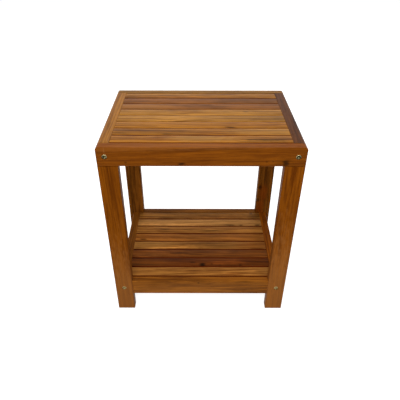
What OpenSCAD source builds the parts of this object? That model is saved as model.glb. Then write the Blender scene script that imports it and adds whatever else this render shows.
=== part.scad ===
// Teak shower bench with a slatted seat and a slatted shelf.
// Two glued frames, front and back, are drawn together by eight bolts over a seat panel and a
// shelf panel. Millimetres, +Z up, origin on the floor under the middle of the bench, front at -Y.

/* [Bench] */
// Width over the legs
bench_w = 408; // [360:1:480]
// Depth over the legs
bench_d = 306; // [260:1:360]
// Height of the seat's top
bench_h = 450; // [380:1:500]

/* [Front and back frames] */
// Width of a leg, seen from the front
leg_w = 41; // [38:1:50]
// Thickness of the legs and of the top rails, front to back
frame_t = 20; // [19:0.5:26]
// Height of the top rails
top_rail_h = 41; // [38:1:50]
// Radius of the seat's outer corners, seen from the front
corner_r = 7; // [4:0.5:10]
// Height of the shelf rails
shelf_rail_h = 41; // [36:1:50]
// How far the shelf rails stand back from the faces of the legs
shelf_reveal = 2; // [0:0.5:4]

/* [Seat panel] */
// Width of an end board
end_board_w = 25; // [22:0.5:32]
// Number of slats in the seat, and in the shelf
slats = 8; // [6:1:9]
// Gap between slats
slat_gap = 2.5; // [1.5:0.5:6]
// Thickness of the slats
slat_t = 14; // [12:0.5:16]

/* [Shelf panel] */
// Height of the shelf's top above the floor
shelf_top = 92; // [80:1:200]
// Thickness of the shelf's end rails
shelf_end_t = 20; // [18:0.5:24]

/* [Slat joints] */
// Thickness of the stub tenon on a slat's end
tenon_t = 8; // [6:0.5:9]
// Length of the stub tenon
tenon_l = 8; // [6:0.5:9]
// Free length left for glue beyond a tenon, a dowel or a bolt
end_play = 1; // [0.5:0.5:1.5]

/* [Bolts and barrel nuts] */
// Distance of the seat bolts from the side of the bench
seat_bolt_inset = 16.5; // [14:0.5:16.5]
// Diameter of a bolt's shank
bolt_d = 6; // [5:0.5:6.5]
// Length of the shank, from under the head to its tip
bolt_l = 50; // [45:1:60]
// Diameter of the bolt's cylindrical head
head_d = 10; // [10:0.5:12]
// Height of the head
head_h = 5; // [4:0.5:5.5]
// Radius on the rim of the head
head_rim = 1.5; // [0.5:0.5:1.5]
// Chamfer on the tip of the shank
tip_chamfer = 1; // [0.5:0.5:1.5]
// Width across the flats of the hexagonal socket
socket_af = 5; // [5:0.5:6]
// Depth of the socket
socket_depth = 3; // [2:0.5:3.5]
// How deep the head lies below the face of the wood
head_sink = 0.5; // [0.2:0.1:0.5]
// Play between the head and its counterbore, on each side
head_play = 0.4; // [0.2:0.1:0.6]
// Play between the shank and the wood, on each side
shank_play = 0.5; // [0.3:0.1:0.7]
// Diameter of a barrel nut
nut_d = 10; // [9:0.5:10]
// Length of a barrel nut
nut_l = 12; // [10:0.5:12]
// Play between the nut and its hole, on each side
nut_play = 0.1; // [0.05:0.05:0.2]
// Distance of the nut's axis from the end of its board
nut_setback = 31; // [25:1:33]
// Width of the screwdriver slot in the nut's lower face
nut_slot_w = 1.5; // [1:0.5:2]
// Depth of that slot
nut_slot_depth = 1.5; // [1:0.5:2]

/* [Dowels] */
// Diameter of a dowel
dowel_d = 8; // [6:0.5:8]
// Length of a dowel, half of it in each piece
dowel_l = 26; // [20:1:26]
// Distance between the two dowels of a joint
dowel_gap = 22; // [18:1:23]
// Thickness of the glue around a dowel
glue_t = 0.05; // [0.02:0.01:0.1]
// Chamfer on the ends of a dowel
dowel_chamfer = 1; // [0.5:0.5:1.5]

/* [Eased edges] */
// Radius on the edges of legs and rails
board_ease = 2; // [1:0.5:3]
// Radius on the edges of slats
slat_ease = 1.5; // [0.5:0.5:2.5]

/* [Hidden] */
$fn = 48;

half_w = bench_w / 2;
half_d = bench_d / 2;
// Face at which both panels meet the frames
panel_y = half_d - frame_t;
leg_h = bench_h - top_rail_h;
leg_x = half_w - leg_w / 2;
leg_y = half_d - frame_t / 2;

shelf_rail_t = frame_t - shelf_reveal;
shelf_rail_l = bench_w - 2 * leg_w;
shelf_rail_z = shelf_top - shelf_rail_h;
shelf_rail_y = panel_y + shelf_rail_t / 2;

seat_bolt_x = half_w - seat_bolt_inset;
seat_bolt_z = bench_h - top_rail_h / 2;
shelf_bolt_z = shelf_top - shelf_rail_h / 2;
seat_slat_l = bench_w - 2 * end_board_w;
shelf_slat_l = 2 * leg_x - shelf_end_t;
slat_pitch = (2 * panel_y - slat_gap) / slats;
slat_w = slat_pitch - slat_gap;
tenon_drop = (slat_t - tenon_t) / 2;

counterbore_r = head_d / 2 + head_play;
counterbore_depth = head_h + head_sink;
shank_r = bolt_d / 2 + shank_play;
shank_reach = counterbore_depth + bolt_l + end_play;
nut_hole_r = nut_d / 2 + nut_play;
nut_slack = 0.5;
dowel_hole_r = dowel_d / 2 + glue_t;
dowel_hole_depth = dowel_l / 2 + end_play / 2;
// Overlap of a cutting shape past the face it cuts
cut = 1;

teak = "peru";
dark_teak = "saddlebrown";
brass = "darkkhaki";
zinc = "silver";
beech = "burlywood";

// Rectangle from the origin, each corner rounded by its own radius, from the lower left
// corner anticlockwise
module rounded_rectangle(w, h, radii) {
    corners = [[0, 0], [1, 0], [1, 1], [0, 1]];
    difference() {
        square([w, h]);
        for (i = [0:3])
            if (radii[i] > 0) {
                r = radii[i];
                in = [1, 1] - 2 * corners[i];
                centre = [corners[i].x * w + in.x * r, corners[i].y * h + in.y * r];
                difference() {
                    translate(centre - [in.x, in.y] * (r + cut) / 2)
                        square(r + cut, center = true);
                    translate(centre) circle(r);
                }
            }
    }
}

// Bars of a rounded section, from the origin along one axis
module bar_x(l, w, h, radii) {
    rotate([90, 0, 90]) linear_extrude(l) rounded_rectangle(w, h, radii);
}

module bar_y(l, w, h, radii) {
    translate([0, l, 0]) rotate([90, 0, 0]) linear_extrude(l) rounded_rectangle(w, h, radii);
}

module bar_z(l, w, h, radii) {
    linear_extrude(l) rounded_rectangle(w, h, radii);
}

// Copies for both sides, or for front and back
module left_and_right() {
    for (side = [0, 1]) mirror([side, 0, 0]) children();
}

module front_and_back() {
    for (side = [0, 1]) mirror([0, side, 0]) children();
}

// What a bolt takes out of the front face of the bench, and of the board behind it
module bolt_hole() {
    translate([0, -half_d, 0]) rotate([-90, 0, 0]) {
        translate([0, 0, -cut]) cylinder(h = cut + counterbore_depth, r = counterbore_r);
        cylinder(h = shank_reach, r = shank_r);
    }
}

// Hole for a barrel nut, drilled upwards from the underside of a board that is h high
module nut_hole(h) {
    translate([0, nut_setback - panel_y, -h / 2 - cut])
        cylinder(h = cut + h / 2 + nut_l / 2 + nut_slack, r = nut_hole_r);
}

module place_seat_bolt() {
    translate([seat_bolt_x, 0, seat_bolt_z]) children();
}

module place_shelf_bolt() {
    translate([leg_x, 0, shelf_bolt_z]) children();
}

// The dowel joints of the right front leg, each along +Z through its own origin
module top_dowel_places() {
    for (s = [-1, 1]) translate([leg_x + s * dowel_gap / 2, -leg_y, leg_h]) children();
}

module shelf_dowel_places() {
    for (s = [-1, 1])
        translate([half_w - leg_w, -shelf_rail_y, shelf_bolt_z + s * dowel_gap / 2])
            rotate([0, 90, 0]) children();
}

module dowel_hole() {
    cylinder(h = 2 * dowel_hole_depth, r = dowel_hole_r, center = true);
}

// Right front leg
module leg() {
    e = board_ease;
    difference() {
        translate([half_w - leg_w, -half_d, 0]) intersection() {
            bar_z(leg_h, leg_w, frame_t, [e, e, e, e]);
            bar_y(frame_t, leg_w, leg_h, [e, e, 0, 0]);
            bar_x(leg_w, frame_t, leg_h, [e, e, 0, 0]);
        }
        place_shelf_bolt() bolt_hole();
        top_dowel_places() dowel_hole();
        shelf_dowel_places() dowel_hole();
    }
}

module front_right_leg() { color(teak) leg(); }
module front_left_leg() { color(teak) mirror([1, 0, 0]) leg(); }
module back_right_leg() { color(dark_teak) mirror([0, 1, 0]) leg(); }
module back_left_leg() { color(dark_teak) mirror([1, 0, 0]) mirror([0, 1, 0]) leg(); }

// Front top rail, over the full width
module top_rail() {
    e = board_ease;
    difference() {
        translate([-half_w, -half_d, leg_h]) intersection() {
            bar_x(bench_w, frame_t, top_rail_h, [e, 0, e, e]);
            bar_y(frame_t, bench_w, top_rail_h, [0, 0, corner_r, corner_r]);
            bar_z(top_rail_h, bench_w, frame_t, [e, e, 0, 0]);
        }
        left_and_right() {
            place_seat_bolt() bolt_hole();
            top_dowel_places() dowel_hole();
        }
    }
}

module front_top_rail() { color(teak) top_rail(); }
module back_top_rail() { color(teak) mirror([0, 1, 0]) top_rail(); }

// Rail between the front legs, at the shelf
module shelf_rail() {
    e = board_ease;
    difference() {
        translate([-shelf_rail_l / 2, -panel_y - shelf_rail_t, shelf_rail_z])
            bar_x(shelf_rail_l, shelf_rail_t, shelf_rail_h, [e, e, e, e]);
        left_and_right() shelf_dowel_places() dowel_hole();
    }
}

module front_shelf_rail() { color(teak) shelf_rail(); }
module back_shelf_rail() { color(dark_teak) mirror([0, 1, 0]) shelf_rail(); }

// Groove along the inner face of a board at x, for tenons of slats whose top is at z
module tenon_groove(x, z) {
    depth = tenon_l + end_play;
    translate([x - cut, -panel_y - cut, z - tenon_drop - tenon_t])
        cube([depth + cut, 2 * (panel_y + cut), tenon_t]);
}

// Right end board of the seat
module end_board() {
    e = board_ease;
    difference() {
        translate([half_w - end_board_w, -panel_y, leg_h])
            bar_y(2 * panel_y, end_board_w, top_rail_h, [e, e, corner_r, e]);
        tenon_groove(half_w - end_board_w, bench_h);
        front_and_back() place_seat_bolt() {
            bolt_hole();
            nut_hole(top_rail_h);
        }
    }
}

module right_end_board() { color(dark_teak) end_board(); }
module left_end_board() { color(teak) mirror([1, 0, 0]) end_board(); }

// Right end rail of the shelf
module shelf_end_rail() {
    e = board_ease;
    inner_x = leg_x - shelf_end_t / 2;
    difference() {
        translate([inner_x, -panel_y, shelf_rail_z])
            bar_y(2 * panel_y, shelf_end_t, shelf_rail_h, [e, e, e, e]);
        tenon_groove(inner_x, shelf_top);
        front_and_back() place_shelf_bolt() {
            bolt_hole();
            nut_hole(shelf_rail_h);
        }
    }
}

module right_shelf_rail() { color(dark_teak) shelf_end_rail(); }
module left_shelf_rail() { color(dark_teak) mirror([1, 0, 0]) shelf_end_rail(); }

// Slat of length l between its shoulders, number i from the front, with its top at z
module slat(i, l, z) {
    e = slat_ease;
    front = -panel_y + slat_gap + (i - 1) * slat_pitch;
    translate([-l / 2, front, z - slat_t]) bar_x(l, slat_w, slat_t, [e, e, e, e]);
    translate([-l / 2 - tenon_l, front + e, z - tenon_drop - tenon_t])
        cube([l + 2 * tenon_l, slat_w - 2 * e, tenon_t]);
}

module seat_slat(i) { color(teak) slat(i, seat_slat_l, bench_h); }
module shelf_slat(i) { color(dark_teak) slat(i, shelf_slat_l, shelf_top); }

// Bolt with its head in the front face, along +Y, turned from its half section
module bolt() {
    r = bolt_d / 2;
    tip = head_h + bolt_l;
    socket_r = socket_af / sqrt(3);
    translate([0, -half_d + head_sink, 0]) rotate([-90, 0, 0]) difference() {
        rotate_extrude() {
            rounded_rectangle(head_d / 2, head_h, [0, head_rim, 0, 0]);
            polygon([[0, 0], [r, 0], [r, tip - tip_chamfer], [r - tip_chamfer, tip], [0, tip]]);
        }
        translate([0, 0, -cut]) cylinder(h = cut + socket_depth, r = socket_r, $fn = 6);
    }
}

module seat_bolts() {
    color(brass) left_and_right() front_and_back() place_seat_bolt() bolt();
}

module shelf_bolts() {
    color(brass) left_and_right() front_and_back() place_shelf_bolt() bolt();
}

// Barrel nut round a bolt, with a slot in its lower face that lines its hole up
module barrel_nut() {
    translate([0, nut_setback - panel_y, 0]) difference() {
        cylinder(h = nut_l, r = nut_d / 2, center = true);
        rotate([90, 0, 0]) cylinder(h = nut_d + 2 * cut, r = bolt_d / 2, center = true);
        translate([0, 0, -nut_l / 2])
            cube([nut_slot_w, nut_d + 2 * cut, 2 * nut_slot_depth], center = true);
    }
}

module seat_barrel_nuts() {
    color(zinc) left_and_right() front_and_back() place_seat_bolt() barrel_nut();
}

module shelf_barrel_nuts() {
    color(zinc) left_and_right() front_and_back() place_shelf_bolt() barrel_nut();
}

// Dowel along +Z, half above its origin
module dowel() {
    straight = dowel_l - 2 * dowel_chamfer;
    r = dowel_d / 2;
    cylinder(h = straight, r = r, center = true);
    for (side = [0, 1]) mirror([0, 0, side])
        translate([0, 0, straight / 2])
            cylinder(h = dowel_chamfer, r1 = r, r2 = r - dowel_chamfer);
}

module frame_dowels() {
    left_and_right() {
        top_dowel_places() dowel();
        shelf_dowel_places() dowel();
    }
}

module front_frame_dowels() { color(beech) frame_dowels(); }
module back_frame_dowels() { color(beech) mirror([0, 1, 0]) frame_dowels(); }

front_left_leg();
front_right_leg();
back_left_leg();
back_right_leg();
front_top_rail();
back_top_rail();
left_end_board();
right_end_board();
for (i = [1:slats])
    seat_slat(i);
front_shelf_rail();
back_shelf_rail();
left_shelf_rail();
right_shelf_rail();
for (i = [1:slats])
    shelf_slat(i);
seat_bolts();
shelf_bolts();
seat_barrel_nuts();
shelf_barrel_nuts();
front_frame_dowels();
back_frame_dowels();
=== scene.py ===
# %% [markdown]
# # A teak shower bench
# The real bench is planed and oiled teak: four straight legs, two top rails that run over them, a
# slatted seat and a slatted shelf near the floor. Hex-socket bolts with yellowish heads hold it
# together. Its boards, bolts and dowels are already modelled to size in CAD, so this notebook
# starts by loading that frame. It gives every piece a material, and builds new slats and bolts in
# place of the CAD ones. What is added here is the finish: the grain and tone of each board, and
# bolts with a screw thread and worn plating.

import math
import random

import bmesh
import bpy
from mathutils import Euler, Matrix, Vector


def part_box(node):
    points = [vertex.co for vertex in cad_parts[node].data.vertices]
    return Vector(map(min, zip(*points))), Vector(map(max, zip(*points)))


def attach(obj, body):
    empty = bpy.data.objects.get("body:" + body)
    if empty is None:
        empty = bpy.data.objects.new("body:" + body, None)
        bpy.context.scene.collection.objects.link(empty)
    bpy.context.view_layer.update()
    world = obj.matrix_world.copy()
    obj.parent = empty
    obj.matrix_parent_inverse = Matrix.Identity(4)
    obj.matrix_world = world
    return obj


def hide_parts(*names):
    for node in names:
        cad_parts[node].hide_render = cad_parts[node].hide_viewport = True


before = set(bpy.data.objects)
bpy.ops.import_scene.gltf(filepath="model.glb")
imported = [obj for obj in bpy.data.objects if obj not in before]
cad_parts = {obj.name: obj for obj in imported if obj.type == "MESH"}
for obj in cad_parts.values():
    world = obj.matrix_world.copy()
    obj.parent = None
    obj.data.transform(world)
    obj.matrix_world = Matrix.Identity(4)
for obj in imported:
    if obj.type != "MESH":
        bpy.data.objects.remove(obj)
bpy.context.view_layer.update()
MM = 0.001

# %% [markdown]
# ## The camera
# The photograph looks down on the bench from the front. Its camera was less than a metre from the
# front edge and about 40 cm higher than the seat, so the legs lean in towards the floor. A
# camera's place and angles can be found by lining up known edges with the picture, and here they
# come from such a fit to the outer edges of the legs and the seat. The picture was cropped off
# centre, and a small lens shift stands for that: turning the camera instead would change the lean
# of the upright lines.

# %% Place the camera
PICTURE_SIDE = 400
FOCAL_LENGTH_PIXELS = 426.3
OPTICAL_CENTRE_PIXELS = (195.9, 215.2)
SENSOR_WIDTH_MM = 36
CAMERA_PLACE = Vector((-0.0100, -0.8794, 0.8264))
LOOK_DOWN = math.radians(36.38)
TURN_RIGHT = math.radians(-0.04)
LEAN = math.radians(0.08)


def add_object(name, data):
    """Object in the scene for a mesh, a lamp or a camera."""
    added = bpy.data.objects.new(name, data)
    bpy.context.scene.collection.objects.link(added)
    return added


lens = bpy.data.cameras.new("photo_camera")
lens.sensor_width = SENSOR_WIDTH_MM
lens.lens = FOCAL_LENGTH_PIXELS / PICTURE_SIDE * SENSOR_WIDTH_MM
lens.shift_x = (PICTURE_SIDE / 2 - OPTICAL_CENTRE_PIXELS[0]) / PICTURE_SIDE
lens.shift_y = (OPTICAL_CENTRE_PIXELS[1] - PICTURE_SIDE / 2) / PICTURE_SIDE
camera = add_object("photo_camera", lens)
camera.matrix_world = (
    Matrix.Translation(CAMERA_PLACE)
    @ Matrix.Rotation(-TURN_RIGHT, 4, "Z")
    @ Matrix.Rotation(math.pi / 2 - LOOK_DOWN, 4, "X")
    @ Matrix.Rotation(LEAN, 4, "Z")
)
bpy.context.scene.camera = camera
print(f"lens {lens.lens:.1f} mm, shift {lens.shift_x:.4f}, {lens.shift_y:.4f}")

# %% [markdown]
# ## Node trees in code
# Materials and Geometry Nodes are both trees of nodes joined by links. Written out in full, each
# node takes three or four lines, and the idea is lost. So one helper adds a node and feeds its
# inputs, where an input is either a plain value or another node's output. The other helpers are
# built on it, one for each kind of sum that the trees below need often. First come plain sums.


# %% Helpers for sums
def put(tree, kind, inputs=None, **settings):
    """Adds a node. Each input is set to a value, or linked if it is given another node's output."""
    node = tree.nodes.new(kind)
    for name, value in settings.items():
        setattr(node, name, value)
    for key, value in (inputs or {}).items():
        if isinstance(value, bpy.types.NodeSocket):
            tree.links.new(value, node.inputs[key])
        else:
            node.inputs[key].default_value = value
    return node


def calc(tree, operation, *values, clamp=False):
    """A sum on one to three numbers."""
    inputs = dict(enumerate(values))
    return put(tree, "ShaderNodeMath", inputs, operation=operation, use_clamp=clamp).outputs[0]


def vector(tree, operation, *values, output="Vector"):
    """A sum on one to three vectors, which gives a vector or, as its output Value, a number."""
    inputs = dict(enumerate(values))
    return put(tree, "ShaderNodeVectorMath", inputs, operation=operation).outputs[output]


def length_of(tree, value):
    """Length of a vector."""
    return vector(tree, "LENGTH", value, output="Value")


def scaled(tree, value, factor):
    """A vector or colour times a number."""
    inputs = {0: value, "Scale": factor}
    return put(tree, "ShaderNodeVectorMath", inputs, operation="SCALE").outputs["Vector"]


def squareness(tree, normal, axis):
    """How squarely a surface faces one way or the other along an axis, from 0 to 1."""
    return calc(tree, "ABSOLUTE", vector(tree, "DOT_PRODUCT", normal, axis, output="Value"))


print("helpers for sums ready")

# %% [markdown]
# The rest are for patterns. A smooth step turns soft noise into clear patches, a weighted sum adds
# up what makes a surface rough or high, and a mask, from 0 to 1, says where to darken. A tree that
# is used more than once becomes a group, with named sockets on its outside.


# %% Helpers for patterns and groups
def smooth_step(tree, value, low, high, below=0.0, above=1.0):
    """Eases from one number where the value is low to another where it is high."""
    inputs = {"Value": value, "From Min": low, "From Max": high, "To Min": below, "To Max": above}
    step = put(tree, "ShaderNodeMapRange", inputs, interpolation_type="SMOOTHSTEP")
    return step.outputs["Result"]


def weighted_sum(tree, start, parts):
    """A number plus each part times its weight."""
    for part, weight in parts:
        start = calc(tree, "MULTIPLY_ADD", part, weight, start)
    return start


def darkened(tree, kept, mask, darkness):
    """The share of light that is kept, less some darkness where the mask is 1."""
    return calc(tree, "MULTIPLY", kept, calc(tree, "MULTIPLY_ADD", mask, -darkness, 1.0))


def mixed(tree, share, first, second):
    """Two colours mixed, all of the second where the share is 1."""
    inputs = {"Factor": share, 6: first, 7: second}
    return put(tree, "ShaderNodeMix", inputs, data_type="RGBA").outputs[2]


def noise(tree, place, repeats, detail=2.0, rough=0.5, output="Fac"):
    """Noise about 0.5 whose features repeat so many times per metre in each direction."""
    place = vector(tree, "MULTIPLY", place, repeats)
    inputs = {"Vector": place, "Scale": 1.0, "Detail": detail, "Roughness": rough}
    return put(tree, "ShaderNodeTexNoise", inputs).outputs[output]


def new_group(kind, name, inputs, outputs):
    """Node group, its entry and its exit. The names of its sockets are listed by type."""
    group = bpy.data.node_groups.new(name, kind)
    for way, sockets in (("INPUT", inputs), ("OUTPUT", outputs)):
        for value_type, names in sockets.items():
            for socket in names:
                socket_type = "NodeSocket" + value_type
                group.interface.new_socket(name=socket, in_out=way, socket_type=socket_type)
    return group, put(group, "NodeGroupInput").outputs, put(group, "NodeGroupOutput").inputs


print("helpers for patterns ready")

# %% [markdown]
# Each material of the bench starts as a fresh tree with one shader, and ends when a colour, a
# roughness and a relief are linked to that shader. Colours are written as hex codes, which follow
# the sRGB curve of a screen, while shaders count light itself. So a code is straightened first.


# %% Helpers for materials
def linear(hex_colour, depth=1.0):
    """Colour written as #rrggbb, as the linear values that shaders use, times a depth."""
    parts = [int(hex_colour[i : i + 2], 16) / 255 for i in (1, 3, 5)]
    parts = [p / 12.92 if p <= 0.04045 else ((p + 0.055) / 1.055) ** 2.4 for p in parts]
    return [p * depth for p in parts] + [1.0]


def new_material(name):
    """Material and its node tree."""
    material = bpy.data.materials.new(name)
    material.use_nodes = True
    return material, material.node_tree


def lay_surface(tree, colour, roughness, height, strength, distance):
    """Links a colour, a roughness and a relief of some height to a material's shader."""
    relief = {"Height": height, "Strength": strength, "Distance": distance}
    relief = put(tree, "ShaderNodeBump", relief).outputs["Normal"]
    shader = tree.nodes["Principled BSDF"]
    for socket, value in (("Base Color", colour), ("Roughness", roughness), ("Normal", relief)):
        tree.links.new(value, shader.inputs[socket])
    return shader


print("helpers for materials ready")

# %% [markdown]
# ## Teak
# Wood shows growth rings where a saw happened to cut them. An image of wood would repeat, and
# would show the same lines on a board's face and on its end. A solid pattern does neither: it
# fills space with long cylinders round the tree's middle, the pith, and each board is a block cut
# out of it. Faces then show long lines, and ends show arcs, as on the real bench.
#
# The group below works in a board's own directions, with X along the grain, in metres. It goes
# from large to small: slow warping, rings, bands of tone, thin lines, curl, fibres and pores. Most
# of these are noise, which repeats so many times per metre along the grain and across it. The
# first of these numbers is small, and this draws the pattern out along the board.

# %% Growth rings, bands, lines and pores
RING_WIDTH = 3.1 * MM
RING_WANDER = 3.0 * MM
RING_SHARPNESS = 2.5
RING_PORES = 0.07
WARP_REACH = 12 * MM
WARP_REPEATS = (2.3, 13, 13)
WANDER_REPEATS = (140, 0, 0)
BAND_REPEATS = (3.5, 55, 55)
LINE_REPEATS = (5.0, 230, 230)
CURL_REPEATS = (22, 60, 60)
FIBRE_REPEATS = (28, 1100, 1100)
PORE_REPEATS = (60, 1500, 1500)
PORE_LEVELS = (0.62, 0.72)
NOISE_MIDDLE = (0.5, 0.5, 0.5)

grain, given, result = new_group(
    "ShaderNodeTree",
    "teak_grain",
    {
        "Vector": ["Place"],
        "Color": ["Light tone", "Dark tone"],
        "Float": ["Figure", "Streaks", "Swell", "End grain"],
    },
    {"Color": ["Colour"], "Float": ["Roughness", "Height"]},
)

warp = noise(grain, given["Place"], WARP_REPEATS, output="Color")
warp = vector(grain, "SUBTRACT", warp, NOISE_MIDDLE)
place = vector(grain, "MULTIPLY_ADD", warp, (0, WARP_REACH, WARP_REACH), given["Place"])

pith_distance = length_of(grain, vector(grain, "MULTIPLY", place, (0, 1, 1)))
pith_distance = calc(grain, "ADD", pith_distance, given["Swell"])
along_radius = put(grain, "ShaderNodeCombineXYZ", {"X": pith_distance}).outputs[0]
wander = noise(grain, along_radius, WANDER_REPEATS)
pith_distance = calc(grain, "MULTIPLY_ADD", wander, RING_WANDER, pith_distance)
in_ring = calc(grain, "FRACT", calc(grain, "DIVIDE", pith_distance, RING_WIDTH))
ring = calc(grain, "POWER", calc(grain, "SUBTRACT", 1.0, in_ring), RING_SHARPNESS)

bands = noise(grain, place, BAND_REPEATS)
lines = noise(grain, place, LINE_REPEATS, detail=4.0, rough=0.7)
curl = noise(grain, place, CURL_REPEATS)
fibres = noise(grain, given["Place"], FIBRE_REPEATS)
pores = noise(grain, given["Place"], PORE_REPEATS, detail=1.0)
pores = calc(grain, "MULTIPLY_ADD", ring, RING_PORES, pores)
pores = smooth_step(grain, pores, *PORE_LEVELS)
print("grain nodes so far:", len(grain.nodes))

# %% [markdown]
# Rings, bands, lines and curl together say how dark each spot is, and that number mixes the
# board's two tones. The last three are noise, which seldom strays far from 0.5, so each of them is
# spread over its usual range before it adds something between its least and its most.
# Straight-grained boards show little of this and others are lively, which the figure input sets.
#
# Mineral streaks are thin and nearly black-brown, and only some boards have them, so their
# strength is an input. Across the ends of a board the cut pores drink the oil, which leaves end
# grain darker and duller. The pores are also the relief that a fingertip feels.

# %% Colour, roughness and relief of teak
RING_SHARE = 0.30
PLAIN_SHARE = 0.35
STREAK_REPEATS = (5, 130, 130)
STREAK_LEVELS = (0.59, 0.69)
STREAK_DARKNESS = 0.6
PORE_DARKNESS = 0.2
END_DARKNESS = 0.3
FIBRE_LEVELS = (0.3, 0.7)
FIBRE_LIGHT = 0.88
DEEP_BROWN = "#2c1002"
OILED_ROUGHNESS = 0.40

dark_share = calc(grain, "MULTIPLY", ring, RING_SHARE)
for part, spread, least, most in (
    (bands, 0.16, -0.12, 0.45),
    (lines, 0.11, -0.26, 0.72),
    (curl, 0.15, -0.08, 0.08),
):
    part = smooth_step(grain, part, 0.5 - spread, 0.5 + spread, least, most)
    dark_share = calc(grain, "ADD", dark_share, part)
dark_share = calc(grain, "SUBTRACT", dark_share, PLAIN_SHARE)
dark_share = calc(grain, "MULTIPLY_ADD", dark_share, given["Figure"], PLAIN_SHARE, clamp=True)
colour = mixed(grain, dark_share, given["Light tone"], given["Dark tone"])

streaks = noise(grain, place, STREAK_REPEATS, detail=3.0)
streaks = smooth_step(grain, streaks, *STREAK_LEVELS)
streaks = calc(grain, "MULTIPLY", streaks, given["Streaks"])
kept = smooth_step(grain, fibres, *FIBRE_LEVELS, FIBRE_LIGHT, 1.0)
kept = darkened(grain, kept, streaks, STREAK_DARKNESS)
kept = darkened(grain, kept, pores, PORE_DARKNESS)
kept = darkened(grain, kept, given["End grain"], END_DARKNESS)
lost = calc(grain, "SUBTRACT", 1.0, kept)
grain.links.new(mixed(grain, lost, colour, linear(DEEP_BROWN)), result["Colour"])

parts = [(pores, 0.18), (ring, 0.05), (given["End grain"], 0.2)]
grain.links.new(weighted_sum(grain, OILED_ROUGHNESS, parts), result["Roughness"])
parts = [(pores, -0.7), (ring, -0.25), (fibres, 0.2)]
grain.links.new(weighted_sum(grain, 1.0, parts), result["Height"])
print("grain nodes:", len(grain.nodes))

# %% [markdown]
# ## Knots and marks
# The photograph shows small knots and many darker marks. A knot is the foot of a branch: a dark
# spot that the rings flow round. A second group gives both parts of it, an oval spot and a
# swelling of the rings about it. A long thin spot with no swelling is a mineral mark, and a wide
# faint one darkens a stretch of a board. A few long thin spots are painted shade instead, along
# edges that face down or lie against a rail. The group measures how far it is to a spot's middle
# in half sizes of the spot, and shakes that a little, so that no spot is a clean oval.

# %% A spot in the grain
SHAKE_REPEATS = (60, 260, 260)
SPOT_CORE = 0.3
SPOT_RIM = 1.1
SWELL_FALL = 0.3

spot, given, result = new_group(
    "ShaderNodeTree",
    "grain_spot",
    {"Vector": ["Place", "Centre", "Size"], "Float": ["Swell"]},
    {"Float": ["Inside", "Swell"]},
)
offset = vector(spot, "SUBTRACT", given["Place"], given["Centre"])
offset = vector(spot, "DIVIDE", offset, given["Size"])
shake = noise(spot, given["Place"], SHAKE_REPEATS, output="Color")
shake = vector(spot, "SUBTRACT", shake, NOISE_MIDDLE)
reach = length_of(spot, vector(spot, "ADD", offset, shake))
bulge = calc(spot, "MULTIPLY", calc(spot, "POWER", reach, 2.0), -SWELL_FALL)
bulge = calc(spot, "EXPONENT", bulge)
spot.links.new(smooth_step(spot, reach, SPOT_CORE, SPOT_RIM, 1.0, 0.0), result["Inside"])
spot.links.new(calc(spot, "MULTIPLY", bulge, given["Swell"]), result["Swell"])
print("spot nodes:", len(spot.nodes))
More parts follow.
